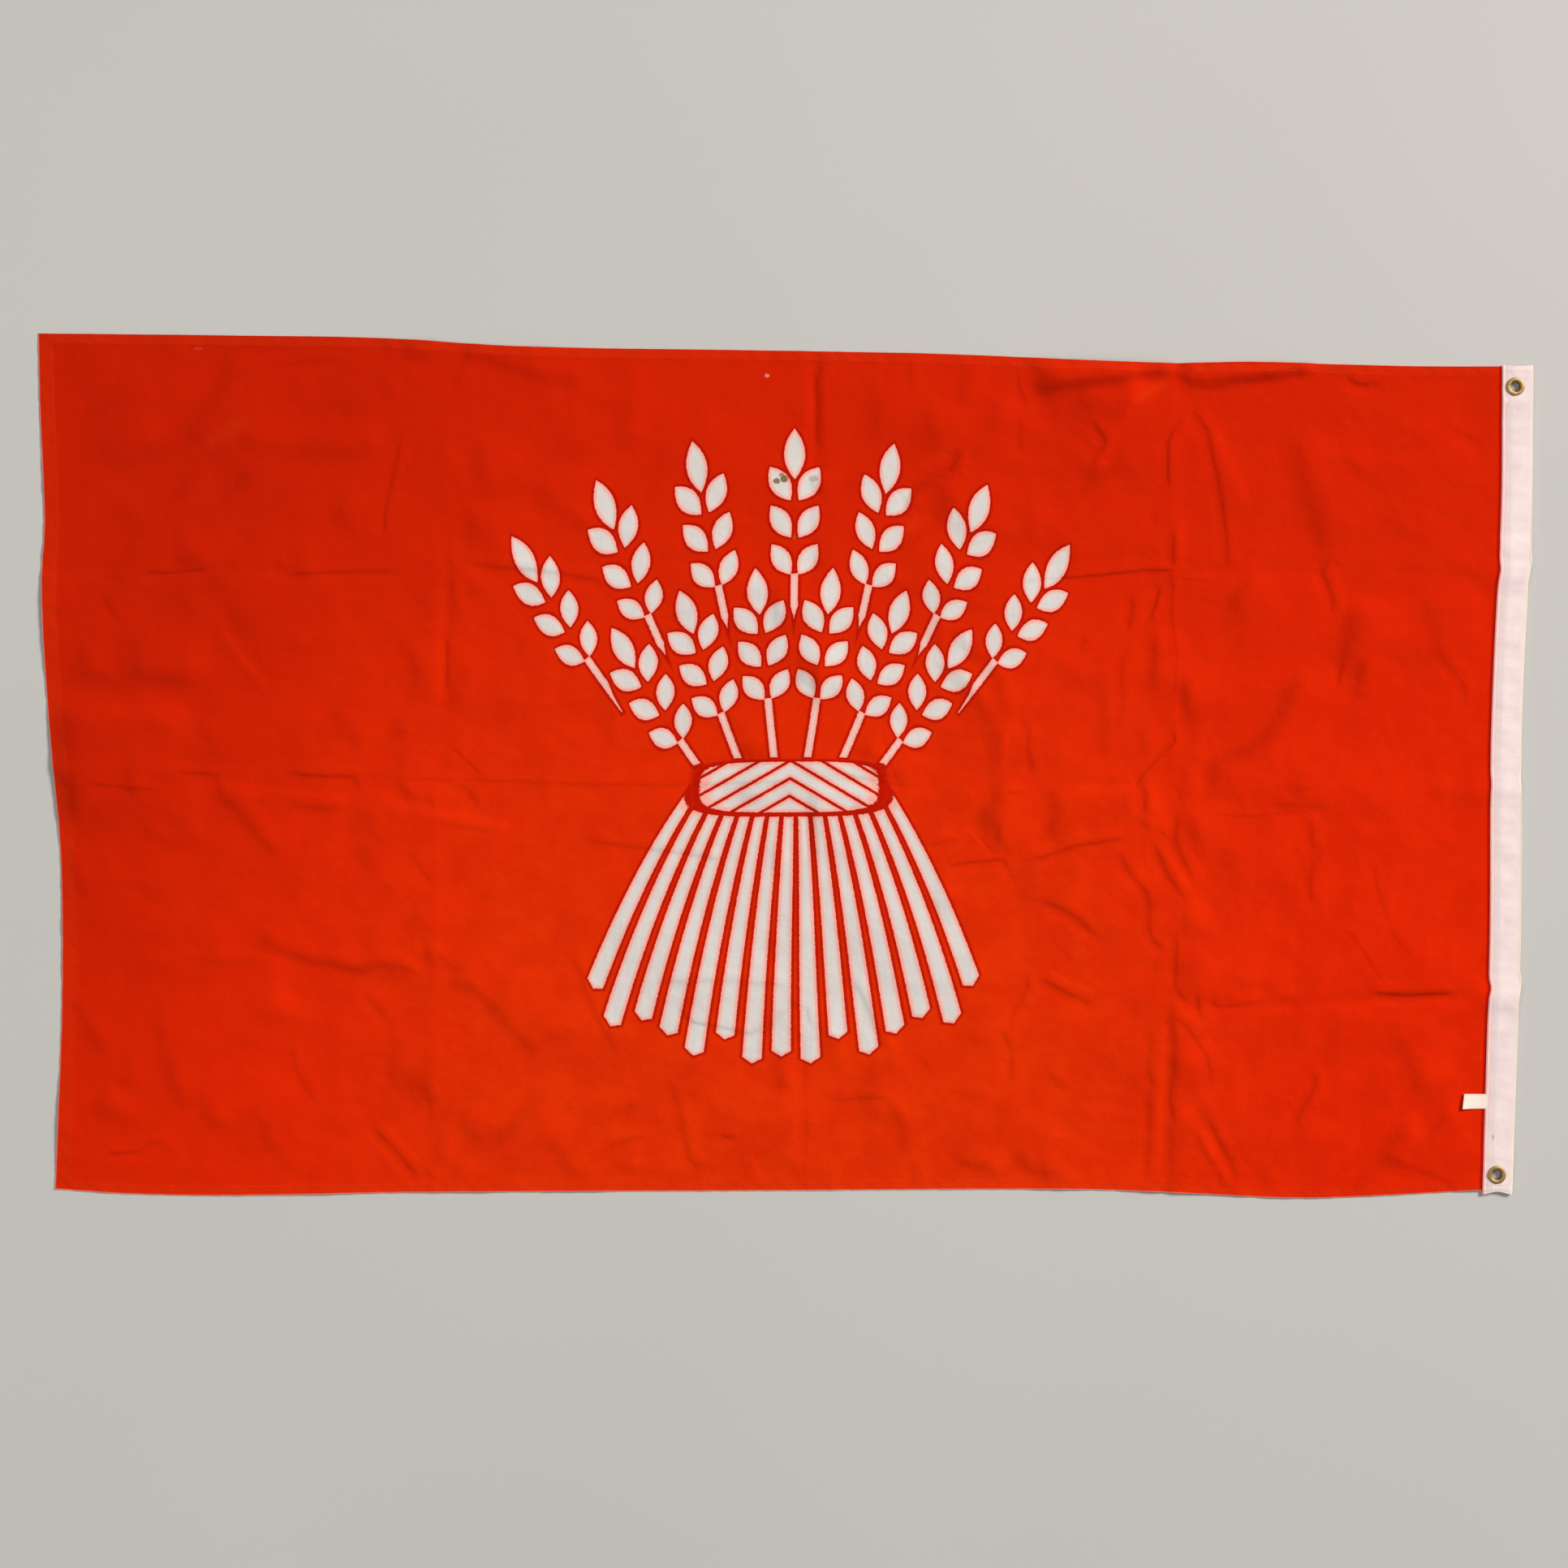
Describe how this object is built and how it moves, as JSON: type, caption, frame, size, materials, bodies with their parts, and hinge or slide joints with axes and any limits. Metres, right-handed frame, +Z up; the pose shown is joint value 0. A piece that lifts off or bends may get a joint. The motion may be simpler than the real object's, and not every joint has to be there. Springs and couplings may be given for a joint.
{
  "type": "flag laid out flat",
  "caption": "Red cloth flag with a plain white emblem, laid out flat with its folding creases, hemmed edges, a white canvas heading with brass eyelets and a small blank tab.",
  "frame": {"origin": "middle of the flag's footprint on the surface that it lies on", "axes": "+X along the flag towards the heading, +Y towards its top edge, +Z up from the surface, with the printed face up"},
  "size_m": [1.5464, 0.8946, 0.0065],
  "materials": {
    "cloth_red": "matt printed cloth, white emblem with pink edges, a few stains",
    "canvas_white": "matt woven canvas, tinged pink by the red dye",
    "ribbon_white": "smooth woven ribbon, blank",
    "eyelet_brass": "dulled brass"
  },
  "bodies": {
    "root": {"field": "cloth_red", "heading": "canvas_white", "label": "ribbon_white", "eyelet_upper": "eyelet_brass", "eyelet_lower": "eyelet_brass"}
  },
  "joints": []
}
